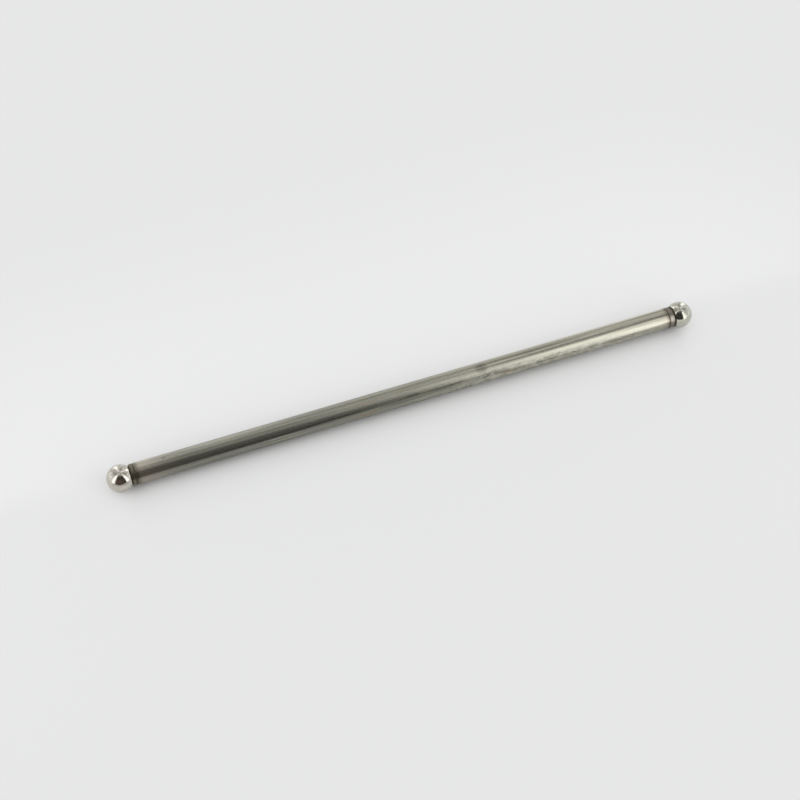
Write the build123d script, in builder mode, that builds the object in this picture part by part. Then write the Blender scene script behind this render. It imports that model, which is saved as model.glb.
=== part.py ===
from build123d import *
from math import acos, degrees, sqrt
import os

# Engine pushrod: a drawn steel tube with a turned ball end let into each end of its bore.
# Millimetres. The rod lies along X, +Z is up, and the origin is on the axis, midway between the ball tips.
# The ball at -X runs in the cup of the valve lifter, and the ball at +X in the cup of the rocker arm.

# Sizes over all
overall_length = 182.4
ball_diameter = 7.94
tube_diameter = 6.35
tube_wall = 0.89

# Undercut between a ball and its collar
undercut_width = 0.3
undercut_depth = 0.35

# Collars, turned flush with the tube: the place of each front face behind its ball's centre, and each length
lifter_face_offset = 2.87
lifter_collar_length = 1.15
rocker_face_offset = 2.68
rocker_collar_length = 1.77
collar_edge_chamfer = 0.2

# Joint between a collar and the end of the tube
joint_chamfer = 0.12

# Shank in the bore
shank_length = 8.0
shank_clearance = 0.02
shank_lead_in = 0.4
relief_width = 0.5
relief_depth = 0.15
bore_lead_in = 0.2

# Worked out from the sizes above
ball_radius = ball_diameter / 2
tube_radius = tube_diameter / 2
bore_radius = tube_radius - tube_wall
shank_radius = bore_radius - shank_clearance
ball_centre_x = overall_length / 2 - ball_radius
lifter_joint_x = -ball_centre_x + lifter_face_offset + lifter_collar_length
rocker_joint_x = ball_centre_x - rocker_face_offset - rocker_collar_length

os.makedirs("parts", exist_ok=True)


def turn_ball_end(lathe_plane, face_offset, collar_length):
    """Turn one ball end. The plane's origin is the ball's centre, and its X runs towards the tube."""
    undercut_start = face_offset - undercut_width
    undercut_angle = degrees(acos(undercut_start / ball_radius))
    ball_edge_radius = sqrt(ball_radius**2 - undercut_start**2)
    neck_radius = ball_edge_radius - undercut_depth
    joint = face_offset + collar_length
    relief_end = joint + relief_width
    shank_end = joint + shank_length

    with BuildPart() as ball_end:
        with BuildSketch(lathe_plane):
            with BuildLine():
                # Ball, from its tip to the undercut
                CenterArc((0, 0), ball_radius, 180, undercut_angle - 180)
                Polyline(
                    # Undercut, square-walled down to the neck and up to the collar's front face
                    (undercut_start, ball_edge_radius),
                    (undercut_start, neck_radius),
                    (face_offset, neck_radius),
                    # Collar, with a chamfer at its front edge and one at the joint, then the shoulder
                    (face_offset, tube_radius - collar_edge_chamfer),
                    (face_offset + collar_edge_chamfer, tube_radius),
                    (joint - joint_chamfer, tube_radius),
                    (joint, tube_radius - joint_chamfer),
                    (joint, shank_radius - relief_depth),
                    # Shank: a relief under the shoulder, then the fit, then the lead-in
                    (relief_end - relief_depth, shank_radius - relief_depth),
                    (relief_end, shank_radius),
                    (shank_end - shank_lead_in, shank_radius),
                    (shank_end, shank_radius - shank_lead_in),
                    (shank_end, 0),
                    (-ball_radius, 0),
                )
            make_face()
        revolve(axis=Axis.X)
    return ball_end


# Tube: drawn to size, faced square at both ends, with chamfers outside and at the bore
with BuildPart() as push_tube:
    with BuildSketch(Plane.YZ.offset(lifter_joint_x)):
        Circle(tube_radius)
        Circle(bore_radius, mode=Mode.SUBTRACT)
    extrude(amount=rocker_joint_x - lifter_joint_x)
    end_faces = push_tube.faces().filter_by(Axis.X)
    outer_edges = end_faces.edges().filter_by(lambda edge: edge.radius > tube_radius - tube_wall / 2)
    bore_edges = end_faces.edges().filter_by(lambda edge: edge.radius < tube_radius - tube_wall / 2)
    chamfer(outer_edges, length=joint_chamfer)
    chamfer(bore_edges, length=bore_lead_in)
push_tube.part.label = "push_tube"

# Ball end at the lifter, with the shorter collar
lifter_plane = Plane(origin=(-ball_centre_x, 0, 0), x_dir=(1, 0, 0), z_dir=(0, -1, 0))
lifter_ball_end = turn_ball_end(lifter_plane, lifter_face_offset, lifter_collar_length)
lifter_ball_end.part.label = "lifter_ball_end"

# Ball end at the rocker arm, with the longer collar, facing the other way
rocker_plane = Plane(origin=(ball_centre_x, 0, 0), x_dir=(-1, 0, 0), z_dir=(0, 1, 0))
rocker_ball_end = turn_ball_end(rocker_plane, rocker_face_offset, rocker_collar_length)
rocker_ball_end.part.label = "rocker_ball_end"

export_step(push_tube.part, "parts/push_tube.step")
export_step(lifter_ball_end.part, "parts/lifter_ball_end.step")
export_step(rocker_ball_end.part, "parts/rocker_ball_end.step")
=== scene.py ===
"""An engine pushrod, laid out as an add-on: a drawn steel tube with a polished ball end let into each end.

The rod lies along X with its middle at the origin, and +Z is up. Lengths are in metres.
"""

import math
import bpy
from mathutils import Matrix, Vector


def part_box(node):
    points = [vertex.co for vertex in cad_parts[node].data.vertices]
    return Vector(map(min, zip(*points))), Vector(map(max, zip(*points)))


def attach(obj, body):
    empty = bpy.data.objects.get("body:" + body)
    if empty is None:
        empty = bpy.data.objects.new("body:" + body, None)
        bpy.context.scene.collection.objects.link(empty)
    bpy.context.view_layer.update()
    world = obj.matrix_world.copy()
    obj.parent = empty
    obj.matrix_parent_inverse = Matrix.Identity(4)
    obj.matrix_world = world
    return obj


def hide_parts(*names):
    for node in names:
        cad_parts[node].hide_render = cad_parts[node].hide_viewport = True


bl_info = {
    "name": "Engine Pushrod",
    "version": (1, 0, 0),
    "blender": (4, 5, 0),
    "location": "3D View > Sidebar > Pushrod",
    "description": "Builds a drawn steel engine pushrod with polished ball ends, and the stage it lies on",
    "category": "Add Mesh",
}

import bpy
import numpy as np
from bpy.props import FloatProperty, FloatVectorProperty, PointerProperty
from mathutils import Vector

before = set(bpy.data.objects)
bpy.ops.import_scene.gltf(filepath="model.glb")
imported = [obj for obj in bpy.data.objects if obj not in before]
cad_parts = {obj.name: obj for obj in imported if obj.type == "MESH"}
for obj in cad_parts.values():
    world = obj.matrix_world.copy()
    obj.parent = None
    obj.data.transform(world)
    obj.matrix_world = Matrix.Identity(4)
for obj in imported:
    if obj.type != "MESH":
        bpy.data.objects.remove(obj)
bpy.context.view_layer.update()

MM = 0.001

# Each turned surface: sides round the axis, longest side of its profile, and points on a ball's arc
SIDES = 192
LONGEST_SIDE = 1.0 * MM
BALL_STEPS = 96
# Softened corners: how far each is cut back, its points, and the turn in degrees past which it is softened
CORNER_CUT = 0.03 * MM
CORNER_STEPS = 5
SHARP_TURN = 20.0

# Places of the pieces, taken from their solids
TUBE_LOW, TUBE_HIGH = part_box("push_tube")
LIFTER_LOW, LIFTER_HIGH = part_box("lifter_ball_end")
ROCKER_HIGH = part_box("rocker_ball_end")[1]
TUBE_RADIUS = TUBE_HIGH.z
BALL_RADIUS = LIFTER_HIGH.z
LIFTER_CENTRE = LIFTER_LOW.x + BALL_RADIUS
ROCKER_CENTRE = ROCKER_HIGH.x - BALL_RADIUS
FLOOR_HEIGHT = LIFTER_LOW.z


def length(name, description, default):
    """A length that a user can change, given in millimetres."""
    return FloatProperty(
        name=name, description=description, default=default * MM, min=0.0, precision=5, unit="LENGTH"
    )


def share(name, description, default):
    """A plain number from 0 to 1."""
    return FloatProperty(
        name=name, description=description, default=default, min=0.0, max=1.0, subtype="FACTOR"
    )


def level(name, description, default):
    """A brightness, where 1 is white."""
    return FloatProperty(name=name, description=description, default=default, min=0.0)


def colour(name, description, default):
    """A linear colour that a user can change."""
    return FloatVectorProperty(
        name=name, description=description, default=default, size=3, min=0.0, max=1.0, subtype="COLOR"
    )


class TubeSettings(bpy.types.PropertyGroup):
    """Sizes and finish of the drawn tube."""

    wall: length("Wall", "Thickness of the tube's wall", 0.89)
    joint_chamfer: length("Joint Chamfer", "Chamfer outside, at each joint", 0.12)
    bore_lead_in: length("Bore Lead-in", "Chamfer at the mouth of the bore", 0.2)
    film_colour: colour("Film", "Steel under its grey-green drawing film", (0.345, 0.345, 0.293))
    worn_colour: colour("Worn", "Steel where the film is rubbed off", (0.585, 0.570, 0.470))
    stain_colour: colour("Stain", "Dark draw lines and smudges", (0.150, 0.148, 0.120))
    scuff_colour: colour("Scuff", "Frosted steel in the scuffed stretch", (0.760, 0.740, 0.640))
    rust_colour: colour("Rust", "Faint tan spots", (0.400, 0.290, 0.190))
    underside_share: share("Underside", "How bright the lower side is, beside the upper side", 0.74)
    lifter_wash_colour: colour("Lifter Wash", "Pinkish tint near the lifter joint", (0.495, 0.452, 0.382))
    lifter_wash_reach: length("Lifter Wash Reach", "How far that wash runs along the tube", 14.0)
    rocker_wash_colour: colour("Rocker Wash", "Pinkish tint near the rocker joint", (0.480, 0.430, 0.360))
    rocker_wash_reach: length("Rocker Wash Reach", "How far that tint runs along the tube", 4.0)
    scale_colour: colour("Heat Scale", "Dark olive-brown scale beside a joint", (0.115, 0.102, 0.066))
    lifter_scale_reach: length("Lifter Scale Reach", "How far the scale runs at the lifter end", 1.9)
    rocker_scale_reach: length("Rocker Scale Reach", "How far the scale runs at the rocker end", 1.4)
    roughness: share("Roughness", "Roughness of the satin surface", 0.27)
    scuffed_roughness: share("Scuffed Roughness", "Roughness where the tube is scuffed", 0.42)
    line_depth: length("Line Depth", "Depth of the draw lines", 0.006)


class BallEndSettings(bpy.types.PropertyGroup):
    """Sizes and finish of the two turned ball ends."""

    lifter_face: length("Lifter Face", "From the lifter ball's centre to its collar's front face", 2.87)
    lifter_collar: length("Lifter Collar", "Length of the collar at the lifter end", 1.15)
    rocker_face: length("Rocker Face", "From the rocker ball's centre to its collar's front face", 2.68)
    rocker_collar: length("Rocker Collar", "Length of the collar at the rocker end", 1.77)
    undercut_width: length("Undercut Width", "Width of the groove behind the ball", 0.3)
    undercut_depth: length("Undercut Depth", "Depth of the groove behind the ball", 0.35)
    collar_edge: length("Collar Edge", "Chamfer at the collar's front edge", 0.2)
    joint_chamfer: length("Joint Chamfer", "Chamfer at the joint with the tube", 0.12)
    shank_length: length("Shank Length", "Length of the shank in the bore", 8.0)
    shank_clearance: length("Shank Clearance", "Gap between the shank and the bore", 0.02)
    shank_lead_in: length("Shank Lead-in", "Chamfer at the end of the shank", 0.4)
    relief_width: length("Relief Width", "Width of the groove under the shoulder", 0.5)
    relief_depth: length("Relief Depth", "Depth of the groove under the shoulder", 0.15)
    lifter_ball_colour: colour("Lifter Ball", "Polished steel", (0.650, 0.618, 0.548))
    # The rocker ball's steel is set a little darker than the lifter ball's, as painted shade for the darker
    # floor it mirrors
    rocker_ball_colour: colour("Rocker Ball", "Polished steel, faintly olive", (0.595, 0.588, 0.508))
    ball_roughness: share("Ball Roughness", "Roughness of the polished balls", 0.06)
    lifter_collar_colour: colour("Lifter Collar", "Steel browned to olive by heat", (0.220, 0.205, 0.148))
    rocker_collar_colour: colour("Rocker Collar", "Steel with a pinkish heat tint", (0.450, 0.410, 0.360))
    lifter_scaly: share("Lifter Scaly", "Scale round the lifter collar, but for its front", 0.25)
    rocker_scaly: share("Rocker Scaly", "Scale round the rocker collar, but for its front", 0.62)
    collar_roughness: share("Collar Roughness", "Roughness of the turned collars", 0.32)
    scale_colour: colour("Heat Scale", "Dark scale at a collar's two edges", (0.100, 0.085, 0.062))
    lifter_edge_scale: length("Lifter Edge Scale", "How far scale runs from the lifter collar's front", 0.3)
    rocker_edge_scale: length("Rocker Edge Scale", "How far scale runs from the rocker collar's front", 0.9)
    joint_scale: length("Joint Scale", "How far scale runs from a collar's joint with the tube", 0.4)
    groove_colour: colour("Groove", "Dark oxide in the undercut", (0.110, 0.095, 0.068))


class StudioSettings(bpy.types.PropertyGroup):
    """Floor, tent, lamps and camera."""

    # The table is set darker in front of the rod than behind it: painted shade
    shaded_floor_colour: colour("Floor", "Colour of the table in front of the rod", (0.762, 0.765, 0.765))
    back_floor_colour: colour("Back Floor", "Colour of the table behind the rod", (0.798, 0.801, 0.801))
    # How much shade is painted into the table where mirrors see it in front of the rod
    mirror_dim: share("Mirror Dim", "How much darker mirrors see the table in front of the rod", 0.34)
    background_colour: colour("Background", "Pale colour far from the rod", (0.797, 0.800, 0.800))
    shadow_fill: share("Shadow Fill", "How much the shadow at each ball is filled in", 0.5)
    tent_level: level("Tent", "Brightness of the tent's sides, as mirrors see it", 0.84)
    plain_side: level("Plain Sides", "Brightness of the tent's sides as dull surfaces see them", 0.62)
    plain_top: level("Plain Top", "Brightness of the tent's top as dull surfaces see it", 1.27)
    front_gain: share("Front Gain", "How much brighter the plain light is from the front", 0.16)
    panel_share: level("Panels", "The two soft panels, as a share of their full brightness", 1.0)
    lamp_share: level("Lamps", "The two soft lamps behind the rod, as a share of their full brightness", 1.0)
    camera_place: FloatVectorProperty(
        name="Camera Place",
        description="Where the camera stands, from the middle of the rod",
        default=(-109.83 * MM, -270.82 * MM, 330.58 * MM),
        size=3,
        precision=5,
        subtype="TRANSLATION",
    )
    aim_left: length("Aim Left", "How far left of the rod's middle the camera aims, in its view", 3.715)
    aim_down: length("Aim Down", "How far below the rod's middle the camera aims, in its view", 2.200)
    lens: FloatProperty(name="Lens", description="Focal length in millimetres", default=68.17, min=1.0)


# Profiles and turned surfaces


def soften(profile, cut, closed=False):
    """The profile with its sharp corners turned into small curves.

    With s from 0 to 1, a corner's curve is the parabola
    (1 - s)^2 * start + 2 * s * (1 - s) * corner + s^2 * end,
    where start and end lie on the two sides at the cut length. A point at twice that length on each side
    keeps the straight stretches beside the curve flat when they are shaded.
    """
    before = np.roll(profile, 1, axis=0) - profile
    after = np.roll(profile, -1, axis=0) - profile
    before /= np.linalg.norm(before, axis=1, keepdims=True)
    after /= np.linalg.norm(after, axis=1, keepdims=True)
    turn = np.degrees(np.arccos(np.clip(-(before * after).sum(axis=1), -1.0, 1.0)))
    sharp = turn > SHARP_TURN
    if not closed:
        sharp[[0, -1]] = False
    reach = np.where(sharp, cut, 0.0)[:, None, None]
    corner, before, after = profile[:, None], before[:, None], after[:, None]
    start, end = corner + reach * before, corner + reach * after
    s = np.linspace(0.0, 1.0, CORNER_STEPS)[None, :, None]
    curve = (1 - s) ** 2 * start + 2 * s * (1 - s) * corner + s**2 * end
    points = np.concatenate([corner + 2 * reach * before, curve, corner + 2 * reach * after], axis=1)
    steps = points.shape[1]
    kept = sharp[:, None] | (np.arange(steps) == steps // 2)
    return points[kept]


def divide(profile, longest):
    """The profile with each side cut into equal parts no longer than the given length."""
    parts = np.ceil(np.linalg.norm(np.diff(profile, axis=0), axis=1) / longest).astype(int)
    corner = np.concatenate([[0], np.cumsum(parts)])
    step = np.arange(corner[-1] + 1)
    return np.stack([np.interp(step, corner, column) for column in profile.T], axis=1)


def turn_piece(name, profile, zones, finishes, centre=0.0, heading=1.0, closed=False):
    """A piece made by turning a profile about the rod's axis.

    A profile point at the distance a along the axis and the radius r, turned by the angle t, lies at
    x = centre + heading * a, y = r * cos(t), z = heading * r * sin(t). A heading of -1 faces the piece the
    other way. An open profile starts and ends on the axis, where its ring closes to one point. A closed one
    ends where it starts. Each side of the profile has its zone's number, and each zone has its finish.
    """
    along, radius = profile.T
    turn = np.linspace(0.0, 2 * np.pi, SIDES, endpoint=False)
    rows = len(profile)
    rings = np.stack(
        np.broadcast_arrays(
            (centre + heading * along)[:, None],
            radius[:, None] * np.cos(turn),
            heading * radius[:, None] * np.sin(turn),
        ),
        axis=-1,
    )
    if closed:
        rings = rings[:-1]
        points = rings.reshape(-1, 3)
        index = np.arange(len(points)).reshape(rows - 1, SIDES)
        index = np.concatenate([index, index[:1]])
    else:
        points = np.concatenate([rings[0, :1], rings[1:-1].reshape(-1, 3), rings[-1, :1]])
        index = np.zeros((rows, SIDES), int)
        index[1:-1] = 1 + np.arange((rows - 2) * SIDES).reshape(rows - 2, SIDES)
        index[-1] = len(points) - 1
    here, beside = index, np.roll(index, -1, axis=1)
    quads = np.stack([here[:-1], beside[:-1], beside[1:], here[1:]], axis=-1)
    if closed:
        faces = quads.reshape(-1, 4).tolist()
    else:
        first, last = quads[0][:, [0, 2, 3]], quads[-1][:, [0, 1, 2]]
        faces = first.tolist() + quads[1:-1].reshape(-1, 4).tolist() + last.tolist()
    mesh = bpy.data.meshes.new(name)
    mesh.from_pydata(points.tolist(), [], faces)
    for finish in finishes:
        mesh.materials.append(finish)
    mesh.polygons.foreach_set("material_index", np.repeat(zones, SIDES).astype(np.int32))
    mesh.shade_smooth()
    mesh.validate()
    piece = bpy.data.objects.new(name, mesh)
    bpy.context.scene.collection.objects.link(piece)
    return piece


def tube_profile(tube):
    """The tube's wall as a closed profile: out along the outside and back along the bore, both chamfered."""
    left, right = TUBE_LOW.x, TUBE_HIGH.x
    outside, bore = TUBE_RADIUS, TUBE_RADIUS - tube.wall
    edge, mouth = tube.joint_chamfer, tube.bore_lead_in
    corners = np.array(
        [
            (left, outside - edge),
            (left + edge, outside),
            (right - edge, outside),
            (right, outside - edge),
            (right, bore + mouth),
            (right - mouth, bore),
            (left + mouth, bore),
            (left, bore + mouth),
        ]
    )
    loop = soften(corners, CORNER_CUT, closed=True)
    return divide(np.concatenate([loop, loop[:1]]), LONGEST_SIDE)


def ball_end_profile(ends, face, collar):
    """A ball end's profile from the tip to the end of the shank, measured from the ball's centre.

    The ball is the arc a = R * cos(t), r = R * sin(t), with t from half a turn down to the undercut.
    Straight sides follow: the undercut, the collar with its two chamfers, the shoulder, the relief and the
    shank.
    """
    tube = bpy.context.scene.pushrod_tube
    undercut = face - ends.undercut_width
    t = np.linspace(math.pi, math.acos(undercut / BALL_RADIUS), BALL_STEPS)
    ball = BALL_RADIUS * np.stack([np.cos(t), np.sin(t)], axis=1)
    ball[0, 1] = 0.0
    neck = ball[-1, 1] - ends.undercut_depth
    joint = face + collar
    shank = TUBE_RADIUS - tube.wall - ends.shank_clearance
    relief_end, shank_end = joint + ends.relief_width, joint + ends.shank_length
    corners = [
        (undercut, neck),
        (face, neck),
        (face, TUBE_RADIUS - ends.collar_edge),
        (face + ends.collar_edge, TUBE_RADIUS),
        (joint - ends.joint_chamfer, TUBE_RADIUS),
        (joint, TUBE_RADIUS - ends.joint_chamfer),
        (joint, shank - ends.relief_depth),
        (relief_end - ends.relief_depth, shank - ends.relief_depth),
        (relief_end, shank),
        (shank_end - ends.shank_lead_in, shank),
        (shank_end, shank - ends.shank_lead_in),
        (shank_end, 0.0),
    ]
    return divide(soften(np.concatenate([ball, corners]), CORNER_CUT), LONGEST_SIDE)


# Nodes


# The numbers of the Mix node's sockets where it mixes colours: its amount, its two colours and its result
MIX_AMOUNT, MIX_FIRST, MIX_SECOND, MIX_RESULT = 0, 6, 7, 2


def feed(tree, node, inputs):
    """Link each input of a node, named or numbered, to a socket, or give it a value."""
    for name, value in inputs.items():
        if isinstance(value, bpy.types.NodeSocket):
            tree.links.new(value, node.inputs[name])
        else:
            node.inputs[name].default_value = value


def put(tree, kind, inputs=None, **settings):
    """Add a node, set it up and feed its inputs."""
    node = tree.nodes.new(kind)
    for name, value in settings.items():
        setattr(node, name, value)
    feed(tree, node, inputs or {})
    return node


def calc(tree, operation, *values, clamp=False):
    """A Math node's result."""
    node = put(tree, "ShaderNodeMath", dict(enumerate(values)), operation=operation, use_clamp=clamp)
    return node.outputs[0]


def vary(tree, noise, middle, spread):
    """A value that a noise moves about its middle, by half the spread each way."""
    return calc(tree, "MULTIPLY_ADD", noise, spread, middle - spread / 2)


def ramp(tree, value, start, end, low=0.0, high=1.0):
    """A smooth step: low at start, high at end, and eased between them."""
    inputs = {"Value": value, "From Min": start, "From Max": end, "To Min": low, "To Max": high}
    return put(tree, "ShaderNodeMapRange", inputs, interpolation_type="SMOOTHSTEP").outputs["Result"]


def mix(tree, amount, first, second, blend="MIX"):
    """A colour between two colours, or the first tinted by the second."""
    inputs = {MIX_AMOUNT: amount, MIX_FIRST: first, MIX_SECOND: second}
    node = put(tree, "ShaderNodeMix", inputs, data_type="RGBA", blend_type=blend, clamp_factor=True)
    return node.outputs[MIX_RESULT]


def rgba(colour_value):
    """A colour setting as the four numbers that a colour socket takes."""
    return (*colour_value, 1.0)


def dimmed(steel, part_left):
    """The same steel, darker."""
    return tuple(part_left * part for part in steel)


def grain(tree, place, size, detail=2.0, roughness=0.5):
    """Noise whose spots have this size: how long they are along the rod, and how wide across it."""
    along, across = size
    scale = (1 / along, 1 / across, 1 / across)
    stretched = put(tree, "ShaderNodeMapping", {"Vector": place, "Scale": scale}).outputs["Vector"]
    inputs = {"Vector": stretched, "Scale": 1.0, "Detail": detail, "Roughness": roughness}
    return put(tree, "ShaderNodeTexNoise", inputs).outputs["Fac"]


def new_finish(name):
    """A material with a plain shader: the material, its node tree, its shader and its object coordinates."""
    material = bpy.data.materials.new(name)
    material.use_nodes = True
    tree = material.node_tree
    tree.nodes.clear()
    shader = put(tree, "ShaderNodeBsdfPrincipled")
    output = put(tree, "ShaderNodeOutputMaterial", {"Surface": shader.outputs[0]})
    output.is_active_output = True
    place = put(tree, "ShaderNodeTexCoord").outputs["Object"]
    return material, tree, shader, place


def show(tree, surface):
    """Let the material's output take this surface in place of its plain shader."""
    output = next(node for node in tree.nodes if node.type == "OUTPUT_MATERIAL")
    tree.links.new(surface, output.inputs["Surface"])


def bumps(tree, relief, depth):
    """A normal that a relief from 0 to 1 tilts, as if it were so deep."""
    inputs = {"Strength": 1.0, "Distance": depth, "Height": relief}
    return put(tree, "ShaderNodeBump", inputs).outputs["Normal"]


def make_metal(tree, shader, surface, roughness, normal):
    """Give a shader a metal's colour, roughness and normal."""
    feed(tree, shader, {"Base Color": surface, "Metallic": 1.0, "Roughness": roughness, "Normal": normal})


def rod_places(tree, place):
    """The place along the rod, the angle round it in degrees, and the height above its axis.

    The angle is 0 in front and 90 on top.
    """
    sides = put(tree, "ShaderNodeSeparateXYZ", {"Vector": place}).outputs
    forward = calc(tree, "MULTIPLY", sides["Y"], -1.0)
    angle = calc(tree, "DEGREES", calc(tree, "ARCTAN2", sides["Z"], forward))
    return sides["X"], angle, sides["Z"]


# A mark is full up to this share of the square of its reach
FULL_MARK = 0.1


def spot(tree, along, angle, middle, reach):
    """A soft oval mark: 1 in its middle and 0 at its reach, given along the rod and in degrees round it."""
    squares = []
    for value, centre, half in zip((along, angle), middle, reach):
        offset = calc(tree, "DIVIDE", calc(tree, "SUBTRACT", value, centre), half)
        squares.append(calc(tree, "MULTIPLY", offset, offset))
    return ramp(tree, calc(tree, "ADD", *squares), 1.0, FULL_MARK)


# Finishes


# Grain of the tube: how long the spots of each noise are along it, and how wide across it
FINE_GRAIN, BROAD_GRAIN = (14 * MM, 0.16 * MM), (50 * MM, 0.7 * MM)
FILM_GRAIN, SPECKLE_GRAIN, MOTTLE_GRAIN = (10 * MM, 1.8 * MM), (0.9 * MM, 0.45 * MM), (2.6 * MM, 1.1 * MM)
# Where the film is rubbed off towards the rocker end, and how much patches and speckles move that edge
WEAR_FROM, WEAR_TO = -32 * MM, 58 * MM
PATCHES, SPECKLES = 0.8, 0.3
# The noise levels between which dark lines and bright scratches come in, and how strongly each covers
LINE_LEVELS, LINE_COVER = (0.50, 0.32), 0.5
SCRATCH_LEVELS, SCRATCH_COVER = (0.58, 0.76), 0.45
# The scuffed stretch: the places where it starts and ends, and the angles between which it fades upwards
SCUFF_START, SCUFF_END, SCUFF_FADE, SCUFF_TOP, SCUFF_BOTTOM = 14 * MM, 72 * MM, 12 * MM, 58.0, 34.0
# The noise levels between which the stretch turns frosted, and how strongly frost and dull patches cover
FROST_LEVELS, FROST_COVER, DULL_COVER = (0.40, 0.62), 0.65, 0.27
# How strongly a joint's wash and its scale cover, and how far the edge of the wash wanders
WASH_COVER, SCALE_COVER, WANDER = 0.9, 0.85, 2 * MM
# Where the tube's colour turns darker towards the underside, as shares of the radius above the axis
UNDERSIDE_FROM, UNDERSIDE_TO = 0.54, 0.26
# How much the gloss varies, and how much deeper broad draw lines are than fine ones
GLOSS_SPREAD, BROAD_DEPTH = 0.12, 2.0
# Marks: the middle and the reach, in millimetres along the tube and degrees round it, colour and strength
MARKS = (
    ((21.2, 76.0), (2.4, 34.0), "stain_colour", 0.65),
    ((-74.5, 91.0), (0.9, 8.0), "stain_colour", 0.6),
    ((-1.0, 38.0), (2.6, 9.0), "stain_colour", 0.6),
    ((15.0, 33.0), (13.0, 6.0), "stain_colour", 0.5),
    ((-42.0, 11.0), (8.0, 3.6), "stain_colour", 0.7),
    ((-41.0, 18.0), (7.0, 3.0), "scuff_colour", 0.6),
    ((-40.0, 1.0), (9.0, 5.0), "worn_colour", 0.65),
    ((-15.3, 4.0), (4.0, 13.0), "rust_colour", 0.6),
    ((-15.0, 70.0), (8.0, 9.0), "rust_colour", 0.35),
    ((-4.0, 80.0), (4.0, 7.0), "rust_colour", 0.3),
    ((29.0, 17.0), (4.0, 8.0), "rust_colour", 0.5),
    ((8.0, 58.0), (9.0, 6.0), "worn_colour", 0.6),
    ((6.0, 75.0), (26.0, 10.0), "stain_colour", 0.3),
    ((38.0, 77.0), (30.0, 2.6), "worn_colour", 0.35),
    # This broad band is partly painted shade, darkening the tube above the streak where its reflection is
    # darker, over the olive-brown lines there
    ((54.0, 69.0), (46.0, 13.0), "stain_colour", 0.65),
    ((84.0, 74.0), (16.0, 16.0), "stain_colour", 0.5),
    ((-58.0, 67.0), (56.0, 17.0), "stain_colour", 0.35),
    ((48.0, 106.0), (44.0, 11.0), "stain_colour", 0.40),
    ((74.0, 33.0), (18.0, 11.0), "scuff_colour", 0.25),
    ((34.0, 31.0), (10.0, 8.0), "scuff_colour", 0.5),
    ((60.0, 88.0), (50.0, 4.5), "stain_colour", 0.25),
    ((-56.0, 104.0), (22.0, 13.0), "worn_colour", 0.45),
    ((-10.0, 103.0), (16.0, 11.0), "worn_colour", 0.25),
)
# How much of a mark the speckle leaves: its middle and its spread
BROKEN_MIDDLE, BROKEN_SPREAD = 0.9, 1.2


def rub_film(tree, tube, along, film, speckle):
    """The film over the steel, rubbed off in patches towards the rocker end."""
    wear = ramp(tree, along, WEAR_FROM, WEAR_TO)
    patchy = vary(tree, film, 0.0, PATCHES)
    speckled = vary(tree, speckle, 0.0, SPECKLES)
    worn = calc(tree, "ADD", calc(tree, "ADD", wear, patchy), speckled, clamp=True)
    return mix(tree, worn, rgba(tube.film_colour), rgba(tube.worn_colour))


def draw_lines(tree, tube, surface, broad, fine):
    """Dark draw lines and bright scratches along the tube."""
    lines = ramp(tree, broad, *LINE_LEVELS, high=LINE_COVER)
    surface = mix(tree, lines, surface, rgba(tube.stain_colour))
    scratches = ramp(tree, fine, *SCRATCH_LEVELS, high=SCRATCH_COVER)
    return mix(tree, scratches, surface, rgba(tube.worn_colour))


def scuff(tree, tube, surface, place, along, angle):
    """The scuffed stretch, frosted in patches and dull between them, and how frosted it is."""
    started = ramp(tree, along, SCUFF_START - SCUFF_FADE, SCUFF_START + SCUFF_FADE)
    ended = ramp(tree, along, SCUFF_END + SCUFF_FADE, SCUFF_END - SCUFF_FADE)
    below = ramp(tree, angle, SCUFF_TOP, SCUFF_BOTTOM)
    stretch = calc(tree, "MULTIPLY", calc(tree, "MULTIPLY", started, ended), below)
    mottle = ramp(tree, grain(tree, place, MOTTLE_GRAIN, detail=5.0, roughness=0.7), *FROST_LEVELS)
    frosted = calc(tree, "MULTIPLY", stretch, mottle)
    dulled = calc(tree, "SUBTRACT", stretch, frosted)
    surface = mix(tree, calc(tree, "MULTIPLY", frosted, FROST_COVER), surface, rgba(tube.scuff_colour))
    surface = mix(tree, calc(tree, "MULTIPLY", dulled, DULL_COVER), surface, rgba(tube.stain_colour))
    return surface, frosted


def tint_joints(tree, tube, surface, along, film):
    """A wash of heat tint and dark scale beside each joint."""
    wander = vary(tree, film, 0.0, WANDER)
    for joint, inward, wash_colour, wash_reach, scale_reach in (
        (TUBE_LOW.x, 1.0, tube.lifter_wash_colour, tube.lifter_wash_reach, tube.lifter_scale_reach),
        (TUBE_HIGH.x, -1.0, tube.rocker_wash_colour, tube.rocker_wash_reach, tube.rocker_scale_reach),
    ):
        from_joint = calc(tree, "MULTIPLY", calc(tree, "SUBTRACT", along, joint), inward)
        wandering = calc(tree, "ADD", from_joint, wander)
        wash = ramp(tree, wandering, wash_reach, 0.0, high=WASH_COVER)
        surface = mix(tree, wash, surface, rgba(wash_colour))
        scale = ramp(tree, from_joint, scale_reach, 0.0, high=SCALE_COVER)
        surface = mix(tree, scale, surface, rgba(tube.scale_colour))
    return surface


def add_marks(tree, tube, surface, along, angle, speckle):
    """The single marks, each broken up by the speckle."""
    left_over = vary(tree, speckle, BROKEN_MIDDLE, BROKEN_SPREAD)
    for (middle, turn), (half, spread), colour_name, strength in MARKS:
        oval = spot(tree, along, angle, (middle * MM, turn), (half * MM, spread))
        mark = calc(tree, "MULTIPLY", oval, strength)
        broken = calc(tree, "MULTIPLY", mark, left_over, clamp=True)
        surface = mix(tree, broken, surface, rgba(getattr(tube, colour_name)))
    return surface


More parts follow.
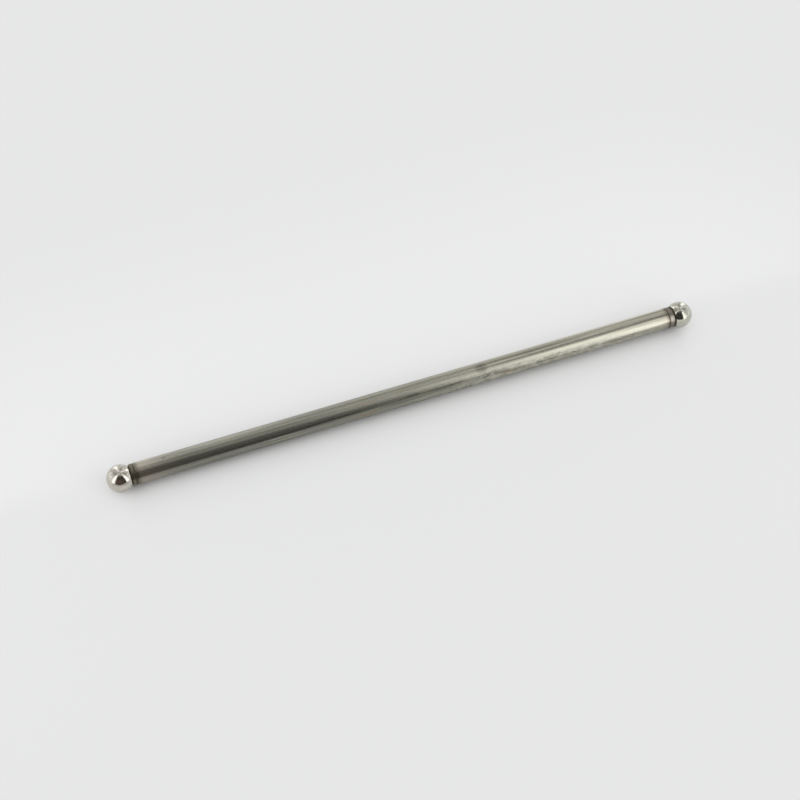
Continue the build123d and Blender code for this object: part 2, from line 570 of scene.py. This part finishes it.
def drawn_steel(tube):
    """Satin drawn steel: a rubbed film, draw lines, scuffs, heat tint, marks and a darker underside."""
    material, tree, shader, place = new_finish("drawn_steel")
    along, angle, height = rod_places(tree, place)
    fine = grain(tree, place, FINE_GRAIN, detail=3.0)
    broad = grain(tree, place, BROAD_GRAIN)
    film = grain(tree, place, FILM_GRAIN, detail=4.0, roughness=0.6)
    speckle = grain(tree, place, SPECKLE_GRAIN, detail=3.0, roughness=0.6)

    # Colour
    surface = rub_film(tree, tube, along, film, speckle)
    surface = draw_lines(tree, tube, surface, broad, fine)
    surface, frosted = scuff(tree, tube, surface, place, along, angle)
    surface = tint_joints(tree, tube, surface, along, film)
    surface = add_marks(tree, tube, surface, along, angle, speckle)
    low = ramp(tree, height, UNDERSIDE_FROM * TUBE_RADIUS, UNDERSIDE_TO * TUBE_RADIUS)
    surface = mix(tree, low, surface, rgba((tube.underside_share,) * 3), blend="MULTIPLY")

    # Gloss and relief
    satin = vary(tree, broad, tube.roughness, GLOSS_SPREAD)
    satin = calc(tree, "MULTIPLY_ADD", frosted, tube.scuffed_roughness - tube.roughness, satin)
    relief = calc(tree, "MULTIPLY_ADD", broad, BROAD_DEPTH, fine)
    relief = calc(tree, "ADD", relief, calc(tree, "MULTIPLY", speckle, frosted))
    make_metal(tree, shader, surface, satin, bumps(tree, relief, tube.line_depth))
    return material


# Grain of the turned and polished steel: the spots of each noise, along the rod and across it
GROUND_RINGS, COLLAR_RINGS, LAPPING_MARKS = (0.06 * MM, 6 * MM), (0.05 * MM, 6 * MM), (0.12 * MM, 2.5 * MM)
GROUND_BLOOM, COLLAR_BLOOM, BALL_HAZE = (1.5 * MM, 1.5 * MM), (0.8 * MM, 0.9 * MM), (1.1 * MM, 1.1 * MM)
# How much of its brightness each steel keeps where it is dull, and how much its roughness varies
GROUND_DULL, COLLAR_DULL, BALL_DULL = 0.7, 0.8, 0.82
GROUND_SPREAD, COLLAR_SPREAD, BALL_SPREAD = 0.15, 0.14, 0.05
# How deep turned rings and lapping marks are, and the noise levels between which a ball turns hazy
RING_DEPTH, LAPPING_DEPTH = 0.001 * MM, 0.0002 * MM
HAZE_LEVELS = (0.42, 0.66)
# A collar is lighter in a band near its front, at the angle where the tube's reflected streak runs: the
# middle angle, and how far round it the scale starts and is full
PALE_BAND_ANGLE, PALE_BAND_FROM, PALE_BAND_TO = 35.0, 9.0, 25.0
# How strongly scale covers a collar at its edges
EDGE_COVER = 0.72
# Steel that is out of sight or nearly so
SHANK_COLOUR, SHANK_ROUGHNESS = (0.50, 0.49, 0.46), 0.3
BORE_COLOUR, BORE_ROUGHNESS = (0.42, 0.41, 0.37), 0.4
GROOVE_ROUGHNESS = 0.6


def ground_steel(name, steel, roughness):
    """Plain turned or ground steel: fine rings round the axis and a faint oily bloom."""
    material, tree, shader, place = new_finish(name)
    rings = grain(tree, place, GROUND_RINGS)
    bloom = grain(tree, place, GROUND_BLOOM, detail=3.0)
    surface = mix(tree, bloom, rgba(dimmed(steel, GROUND_DULL)), rgba(steel))
    uneven = vary(tree, rings, roughness, GROUND_SPREAD)
    make_metal(tree, shader, surface, uneven, bumps(tree, rings, RING_DEPTH))
    return material


def tinted_collar(name, steel, edges, scaly_share):
    """Turned steel with fine rings, tinted by heat and scaled dark, but for a lighter band near its front.

    Each of its two edges is scaled all round. It is given by its place and by how far its scale reaches.
    """
    ends = bpy.context.scene.pushrod_ends
    material, tree, shader, place = new_finish(name)
    along, angle, _ = rod_places(tree, place)
    rings = grain(tree, place, COLLAR_RINGS)
    bloom = grain(tree, place, COLLAR_BLOOM, detail=3.0)
    surface = mix(tree, bloom, rgba(dimmed(steel, COLLAR_DULL)), rgba(steel))
    from_pale_band = calc(tree, "ABSOLUTE", calc(tree, "SUBTRACT", angle, PALE_BAND_ANGLE))
    scaly = ramp(tree, from_pale_band, PALE_BAND_FROM, PALE_BAND_TO, high=scaly_share)
    surface = mix(tree, scaly, surface, rgba(ends.scale_colour))
    for edge, reach in edges:
        from_edge = calc(tree, "ABSOLUTE", calc(tree, "SUBTRACT", along, edge))
        scale = ramp(tree, from_edge, reach, 0.0, high=EDGE_COVER)
        surface = mix(tree, scale, surface, rgba(ends.scale_colour))
    uneven = vary(tree, rings, ends.collar_roughness, COLLAR_SPREAD)
    make_metal(tree, shader, surface, uneven, bumps(tree, rings, RING_DEPTH))
    return material


def polished_steel(name, steel, roughness):
    """Mirror-polished hardened steel with faint lapping marks and a thin mottled haze."""
    material, tree, shader, place = new_finish(name)
    haze = grain(tree, place, BALL_HAZE, detail=5.0, roughness=0.65)
    lapping = grain(tree, place, LAPPING_MARKS)
    surface = mix(tree, ramp(tree, haze, *HAZE_LEVELS), rgba(steel), rgba(dimmed(steel, BALL_DULL)))
    gloss = vary(tree, haze, roughness, BALL_SPREAD)
    make_metal(tree, shader, surface, gloss, bumps(tree, lapping, LAPPING_DEPTH))
    return material


def build_ball_end(end, centre, heading):
    """Turn one ball end, give each of its zones its finish, and let it stand for its solid."""
    ends = bpy.context.scene.pushrod_ends
    face, collar = getattr(ends, f"{end}_face"), getattr(ends, f"{end}_collar")
    profile = ball_end_profile(ends, face, collar)
    middle = (profile[1:, 0] + profile[:-1, 0]) / 2
    zones = np.searchsorted((face - ends.undercut_width, face, face + collar), middle, side="right")
    edges = (
        (centre + heading * face, getattr(ends, f"{end}_edge_scale")),
        (centre + heading * (face + collar), ends.joint_scale),
    )
    ball_steel, collar_steel = getattr(ends, f"{end}_ball_colour"), getattr(ends, f"{end}_collar_colour")
    finishes = [
        polished_steel(f"{end}_polish", ball_steel, ends.ball_roughness),
        ground_steel(f"{end}_groove", ends.groove_colour, GROOVE_ROUGHNESS),
        tinted_collar(f"{end}_collar", collar_steel, edges, getattr(ends, f"{end}_scaly")),
        ground_steel(f"{end}_shank", SHANK_COLOUR, SHANK_ROUGHNESS),
    ]
    piece = turn_piece(f"{end}_ball", profile, zones, finishes, centre, heading)
    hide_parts(f"{end}_ball_end")
    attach(piece, "root")


class PUSHROD_OT_build_tube(bpy.types.Operator):
    """Build the drawn steel tube"""

    bl_idname = "pushrod.build_tube"
    bl_label = "Build Tube"
    bl_options = {"REGISTER", "UNDO"}

    def execute(self, context):
        tube = context.scene.pushrod_tube
        profile = tube_profile(tube)
        middle = (profile[1:, 1] + profile[:-1, 1]) / 2
        # The outside and its chamfers are drawn steel, and the end faces and the bore are ground
        zones = np.where(middle > TUBE_RADIUS - 1.5 * tube.joint_chamfer, 0, 1)
        finishes = [drawn_steel(tube), ground_steel("tube_bore", BORE_COLOUR, BORE_ROUGHNESS)]
        piece = turn_piece("drawn_tube", profile, zones, finishes, closed=True)
        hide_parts("push_tube")
        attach(piece, "root")
        return {"FINISHED"}


class PUSHROD_OT_build_ball_ends(bpy.types.Operator):
    """Build the two turned ball ends, which face away from each other"""

    bl_idname = "pushrod.build_ball_ends"
    bl_label = "Build Ball Ends"
    bl_options = {"REGISTER", "UNDO"}

    def execute(self, context):
        build_ball_end("lifter", LIFTER_CENTRE, 1.0)
        build_ball_end("rocker", ROCKER_CENTRE, -1.0)
        return {"FINISHED"}


# Stage


# The table's half size, and how far from the rod the camera starts to see it fade and sees it gone
FLOOR_HALF = 4.0
FADE_FROM, FADE_TO = 30 * MM, 120 * MM
# Where the table turns paler going back, out of the shade painted in front of the rod
BEHIND_FROM, BEHIND_TO = -4 * MM, 14 * MM
# Where mirrors see the table darker, as shade painted into its reflection: how far in front of the rod that
# starts and is full, then the same going left
DIM_FROM, DIM_TO = 2 * MM, 36 * MM
DIM_RIGHT, DIM_LEFT = 70 * MM, 0 * MM
# Where the shadow before a ball is filled in: from and to how far past the ball's centre, and how far back
FILL_FROM, FILL_TO, FILL_BACK = -4 * MM, 3 * MM, 6 * MM
BLACK = (0.0, 0.0, 0.0)
WHITE = (1.0, 1.0, 1.0)


def lay_floor(studio):
    """A pale table that takes the rod's shadow and fades to the background away from it, with shade painted
    into it in front of the rod, and more where mirrors see it.
    """
    half, z = FLOOR_HALF, FLOOR_HEIGHT
    corners = [(-half, -half, z), (half, -half, z), (half, half, z), (-half, half, z)]
    mesh = bpy.data.meshes.new("floor")
    mesh.from_pydata(corners, [], [(0, 1, 2, 3)])
    floor = bpy.data.objects.new("floor", mesh)
    bpy.context.scene.collection.objects.link(floor)
    material, tree, shader, place = new_finish("pale_table")
    sides = put(tree, "ShaderNodeSeparateXYZ", {"Vector": place}).outputs
    rays = put(tree, "ShaderNodeLightPath").outputs

    # Colour, with painted shade in front of the rod and in what mirrors see of it
    behind = ramp(tree, sides["Y"], BEHIND_FROM, BEHIND_TO)
    surface = mix(tree, behind, rgba(studio.shaded_floor_colour), rgba(studio.back_floor_colour))
    in_front = ramp(tree, sides["Y"], -DIM_FROM, -DIM_TO, high=studio.mirror_dim)
    to_left = ramp(tree, sides["X"], DIM_RIGHT, DIM_LEFT)
    dim = calc(tree, "MULTIPLY", calc(tree, "MULTIPLY", in_front, to_left), rays["Is Glossy Ray"])
    surface = mix(tree, dim, surface, rgba(BLACK))
    feed(tree, shader, {"Base Color": surface, "Specular IOR Level": 0.0})

    # Fade to the background away from the rod, and some of it in the shadow of each ball
    past_ball = calc(tree, "SUBTRACT", calc(tree, "ABSOLUTE", sides["X"]), ROCKER_CENTRE)
    beyond = calc(tree, "MAXIMUM", past_ball, 0.0)
    squares = calc(tree, "ADD", calc(tree, "POWER", beyond, 2.0), calc(tree, "POWER", sides["Y"], 2.0))
    away = calc(tree, "SQRT", squares)
    beside_ball = ramp(tree, past_ball, FILL_FROM, FILL_TO, high=studio.shadow_fill)
    fill = calc(tree, "MULTIPLY", beside_ball, ramp(tree, sides["Y"], FILL_BACK, 0.0))
    fade = calc(tree, "MAXIMUM", fill, ramp(tree, away, FADE_FROM, FADE_TO))
    fade = calc(tree, "MULTIPLY", fade, rays["Is Camera Ray"])
    glow = put(tree, "ShaderNodeEmission", {"Color": rgba(studio.background_colour), "Strength": 1.0})
    blend = put(tree, "ShaderNodeMixShader", {0: fade, 1: shader.outputs[0], 2: glow.outputs[0]})
    show(tree, blend.outputs[0])
    mesh.materials.append(material)


# The tent darkens between two elevations, in degrees, and its top is a little lighter again
SHOULDER_FROM, SHOULDER_TO, SHOULDER_SHARE = 26.0, 60.0, 0.54
TOP_FROM, TOP_TO, TOP_GAIN = 54.0, 80.0, 0.23
# Lighter folds: each one's azimuth, half width and brightness, and where it fades in and out going up
FOLDS = (
    (-163.0, 26.0, 0.50, (38.0, 56.0, 66.0, 86.0)),
    (-40.0, 30.0, 0.55, (40.0, 58.0, 70.0, 86.0)),
    (31.0, 26.0, 0.62, (34.0, 52.0, 66.0, 86.0)),
    (98.0, 26.0, 0.62, (34.0, 52.0, 68.0, 86.0)),
    (-5.0, 36.0, 0.26, (-20.0, -5.0, 8.0, 34.0)),
    (150.0, 40.0, 0.30, (-20.0, -5.0, 10.0, 36.0)),
)
# The tent's opening in front of the rod: azimuths, top and soft edges in degrees, and its colour
OPENING_FROM, OPENING_TO, OPENING_EDGE = -152.0, -60.0, 6.0
OPENING_TOP, OPENING_GONE = 53.0, 90.0
OPENING_COLOUR = (0.055, 0.055, 0.048)
# The cloth's tints where it is dark and where it is light, and the levels between which they change
DIM_TINT, LIT_TINT = (1.00, 0.97, 0.83), (1.00, 1.00, 1.03)
DIM_LEVEL, LIT_LEVEL = 0.30, 0.75
# The noise that creases the cloth, the levels between which it acts, and how it dims and brightens the cloth
CREASES = {"Scale": 6.5, "Detail": 6.0, "Roughness": 0.68, "Distortion": 0.8}
CREASE_FROM, CREASE_TO, CREASE_LEVELS = 0.40, 0.60, (0.50, 1.40)
# The elevations between which the plain light grows from its sides to its top
PLAIN_FROM, PLAIN_TO = 14.0, 80.0


def add_folds(tree, light, azimuth, elevation):
    """The cloth's light with the lighter folds added."""
    for fold, width, brightness, (start, full, end, gone) in FOLDS:
        turn = calc(tree, "WRAP", calc(tree, "SUBTRACT", azimuth, fold), 180.0, -180.0)
        beside = calc(tree, "ABSOLUTE", turn)
        rising = ramp(tree, elevation, start, full)
        falling = ramp(tree, elevation, gone, end, high=brightness)
        risen = calc(tree, "MULTIPLY", rising, falling)
        light = calc(tree, "MULTIPLY_ADD", ramp(tree, beside, width, 0.0), risen, light)
    return light


def hang_tent(studio):
    """The world: the background, plain light, and a light tent that only mirrors see.

    The tent is cloth with folds and creases, and has a dark opening in front.
    """
    world = bpy.data.worlds.new("tent")
    bpy.context.scene.world = world
    world.use_nodes = True
    tree = world.node_tree
    tree.nodes.clear()
    direction = put(tree, "ShaderNodeTexCoord").outputs["Generated"]
    parts = put(tree, "ShaderNodeSeparateXYZ", {"Vector": direction}).outputs
    azimuth = calc(tree, "DEGREES", calc(tree, "ARCTAN2", parts["Y"], parts["X"]))
    elevation = calc(tree, "DEGREES", calc(tree, "ARCSINE", parts["Z"]))

    # Cloth
    side = ramp(tree, elevation, SHOULDER_FROM, SHOULDER_TO, 1.0, SHOULDER_SHARE)
    top = ramp(tree, elevation, TOP_FROM, TOP_TO, 0.0, TOP_GAIN)
    light = calc(tree, "MULTIPLY", calc(tree, "ADD", side, top), studio.tent_level)
    creases = put(tree, "ShaderNodeTexNoise", {"Vector": direction, **CREASES}).outputs["Fac"]
    light = calc(tree, "MULTIPLY", light, ramp(tree, creases, CREASE_FROM, CREASE_TO, *CREASE_LEVELS))
    light = add_folds(tree, light, azimuth, elevation)
    white = mix(tree, ramp(tree, light, DIM_LEVEL, LIT_LEVEL), rgba(DIM_TINT), rgba(LIT_TINT))
    cloth = put(tree, "ShaderNodeVectorMath", {0: white, "Scale": light}, operation="SCALE")

    # Opening
    left = ramp(tree, azimuth, OPENING_FROM - OPENING_EDGE, OPENING_FROM)
    right = ramp(tree, azimuth, OPENING_TO + OPENING_EDGE, OPENING_TO)
    under = ramp(tree, elevation, OPENING_GONE, OPENING_TOP)
    opening = calc(tree, "MULTIPLY", calc(tree, "MULTIPLY", left, right), under)
    tent = mix(tree, opening, cloth.outputs["Vector"], rgba(OPENING_COLOUR))

    # Plain light, and what each kind of ray sees
    plain = ramp(tree, elevation, PLAIN_FROM, PLAIN_TO, studio.plain_side, studio.plain_top)
    forward = calc(tree, "MULTIPLY_ADD", parts["Y"], -studio.front_gain, 1.0)
    plain = calc(tree, "MULTIPLY", plain, forward)
    rays = put(tree, "ShaderNodeLightPath").outputs
    mirrored = mix(tree, rays["Is Glossy Ray"], plain, tent)
    shown = mix(tree, rays["Is Camera Ray"], mirrored, rgba(studio.background_colour))
    background = put(tree, "ShaderNodeBackground", {"Color": shown, "Strength": 1.0})
    put(tree, "ShaderNodeOutputWorld", {"Surface": background.outputs[0]})


# How an upright sheet fades: from this share of its half width out, and from this share of its height up
SIDE_FADE, TOP_FADE = 0.05, 0.66
# Each upright panel beside the camera: its name, the plan of its two feet, its height and its brightness
PANELS = (
    ("right_panel", (125 * MM, -379 * MM), (293 * MM, -175 * MM), 640 * MM, 2.00),
    ("left_panel", (-339 * MM, -6 * MM), (-211 * MM, -132 * MM), 500 * MM, 1.85),
)
# Each upright lamp behind the rod: its name, the plan of its foot, its width, height and brightness
LAMPS = (
    ("back_left_lamp", (-173 * MM, 612 * MM), 270 * MM, 780 * MM, 1.90),
    ("back_right_lamp", (325 * MM, 238 * MM), 180 * MM, 420 * MM, 1.90),
)
# A dim brownish card in front of the lifter end: its name, the plan of its foot, width, height and colour
CARD = ("brown_card", (-116 * MM, -62 * MM), 160 * MM, 80 * MM, (0.112, 0.088, 0.080))


def hang_sheet(name, foot, facing, width, height, brightness, tint=WHITE):
    """An upright glowing sheet on the table, out of the camera's sight.

    It fades to clear towards both sides and its top.
    """
    half = width / 2
    corners = [(-half, 0, 0), (half, 0, 0), (half, 0, height), (-half, 0, height)]
    mesh = bpy.data.meshes.new(name)
    mesh.from_pydata(corners, [], [(0, 1, 2, 3)])
    sheet = bpy.data.objects.new(name, mesh)
    sheet.location = (*foot, FLOOR_HEIGHT)
    sheet.rotation_mode = "QUATERNION"
    sheet.rotation_quaternion = Vector(facing).to_track_quat("-Y", "Z")
    sheet.visible_camera = False
    bpy.context.scene.collection.objects.link(sheet)
    material, tree, shader, place = new_finish(name)
    tree.nodes.remove(shader)
    sides = put(tree, "ShaderNodeSeparateXYZ", {"Vector": place}).outputs
    across = ramp(tree, calc(tree, "ABSOLUTE", sides["X"]), half, SIDE_FADE * half)
    upright = ramp(tree, sides["Z"], height, TOP_FADE * height)
    there = calc(tree, "MULTIPLY", across, upright)
    glow = put(tree, "ShaderNodeEmission", {"Color": rgba(tint), "Strength": brightness})
    clear = put(tree, "ShaderNodeBsdfTransparent")
    blend = put(tree, "ShaderNodeMixShader", {0: there, 1: clear.outputs[0], 2: glow.outputs[0]})
    show(tree, blend.outputs[0])
    mesh.materials.append(material)
    return sheet


def hang_lights(studio):
    """Two soft panels beside the camera, two soft lamps behind the rod, and a card that only mirrors see."""
    for name, left_foot, right_foot, height, brightness in PANELS:
        left, right = Vector((*left_foot, 0.0)), Vector((*right_foot, 0.0))
        foot = (left + right) / 2
        facing = Vector((0, 0, 1)).cross(right - left)
        hang_sheet(name, foot.xy, facing, (right - left).length, height, studio.panel_share * brightness)
    for name, foot, width, height, brightness in LAMPS:
        hang_sheet(name, foot, (-foot[0], -foot[1], 0.0), width, height, studio.lamp_share * brightness)
    name, foot, width, height, tint = CARD
    card = hang_sheet(name, foot, (0.0, 1.0, 0.0), width, height, 1.0, tint)
    card.visible_diffuse = False
    card.visible_shadow = False


# The camera's sensor in millimetres, and the distances between which it sees
SENSOR_WIDTH = 36.0
NEAREST, FARTHEST = 10 * MM, 20.0


def place_camera(studio):
    """The camera, aimed a little left of and below the rod's middle."""
    data = bpy.data.cameras.new("camera")
    data.sensor_width = SENSOR_WIDTH
    data.lens = studio.lens
    data.clip_start, data.clip_end = NEAREST, FARTHEST
    camera = bpy.data.objects.new("camera", data)
    bpy.context.scene.collection.objects.link(camera)
    place = Vector(studio.camera_place)
    level_turn = (-place).to_track_quat("-Z", "Y")
    aim = level_turn @ Vector((-studio.aim_left, -studio.aim_down, 0.0))
    camera.location = place
    camera.rotation_mode = "QUATERNION"
    camera.rotation_quaternion = (aim - place).to_track_quat("-Z", "Y")
    bpy.context.scene.camera = camera


class PUSHROD_OT_build_stage(bpy.types.Operator):
    """Lay the floor, hang the tent and its lights, and place the camera"""

    bl_idname = "pushrod.build_stage"
    bl_label = "Build Stage"
    bl_options = {"REGISTER", "UNDO"}

    def execute(self, context):
        studio = context.scene.pushrod_studio
        lay_floor(studio)
        hang_tent(studio)
        hang_lights(studio)
        place_camera(studio)
        context.scene.view_settings.view_transform = "Standard"
        return {"FINISHED"}


class PUSHROD_PT_panel(bpy.types.Panel):
    """Settings and build buttons of the pushrod"""

    bl_idname = "PUSHROD_PT_panel"
    bl_label = "Engine Pushrod"
    bl_space_type = "VIEW_3D"
    bl_region_type = "UI"
    bl_category = "Pushrod"

    def draw(self, context):
        scene = context.scene
        for operator, settings in (
            ("pushrod.build_tube", scene.pushrod_tube),
            ("pushrod.build_ball_ends", scene.pushrod_ends),
            ("pushrod.build_stage", scene.pushrod_studio),
        ):
            box = self.layout.box()
            box.operator(operator)
            for name in settings.bl_rna.properties.keys():
                if name not in ("rna_type", "name"):
                    box.prop(settings, name)


CLASSES = (
    TubeSettings,
    BallEndSettings,
    StudioSettings,
    PUSHROD_OT_build_tube,
    PUSHROD_OT_build_ball_ends,
    PUSHROD_OT_build_stage,
    PUSHROD_PT_panel,
)


def register():
    for cls in CLASSES:
        bpy.utils.register_class(cls)
    bpy.types.Scene.pushrod_tube = PointerProperty(type=TubeSettings)
    bpy.types.Scene.pushrod_ends = PointerProperty(type=BallEndSettings)
    bpy.types.Scene.pushrod_studio = PointerProperty(type=StudioSettings)


def unregister():
    del bpy.types.Scene.pushrod_studio
    del bpy.types.Scene.pushrod_ends
    del bpy.types.Scene.pushrod_tube
    for cls in reversed(CLASSES):
        bpy.utils.unregister_class(cls)


def main():
    """Register the add-on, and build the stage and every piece."""
    register()
    bpy.ops.pushrod.build_stage()
    bpy.ops.pushrod.build_tube()
    bpy.ops.pushrod.build_ball_ends()


if __name__ == "__main__":
    main()
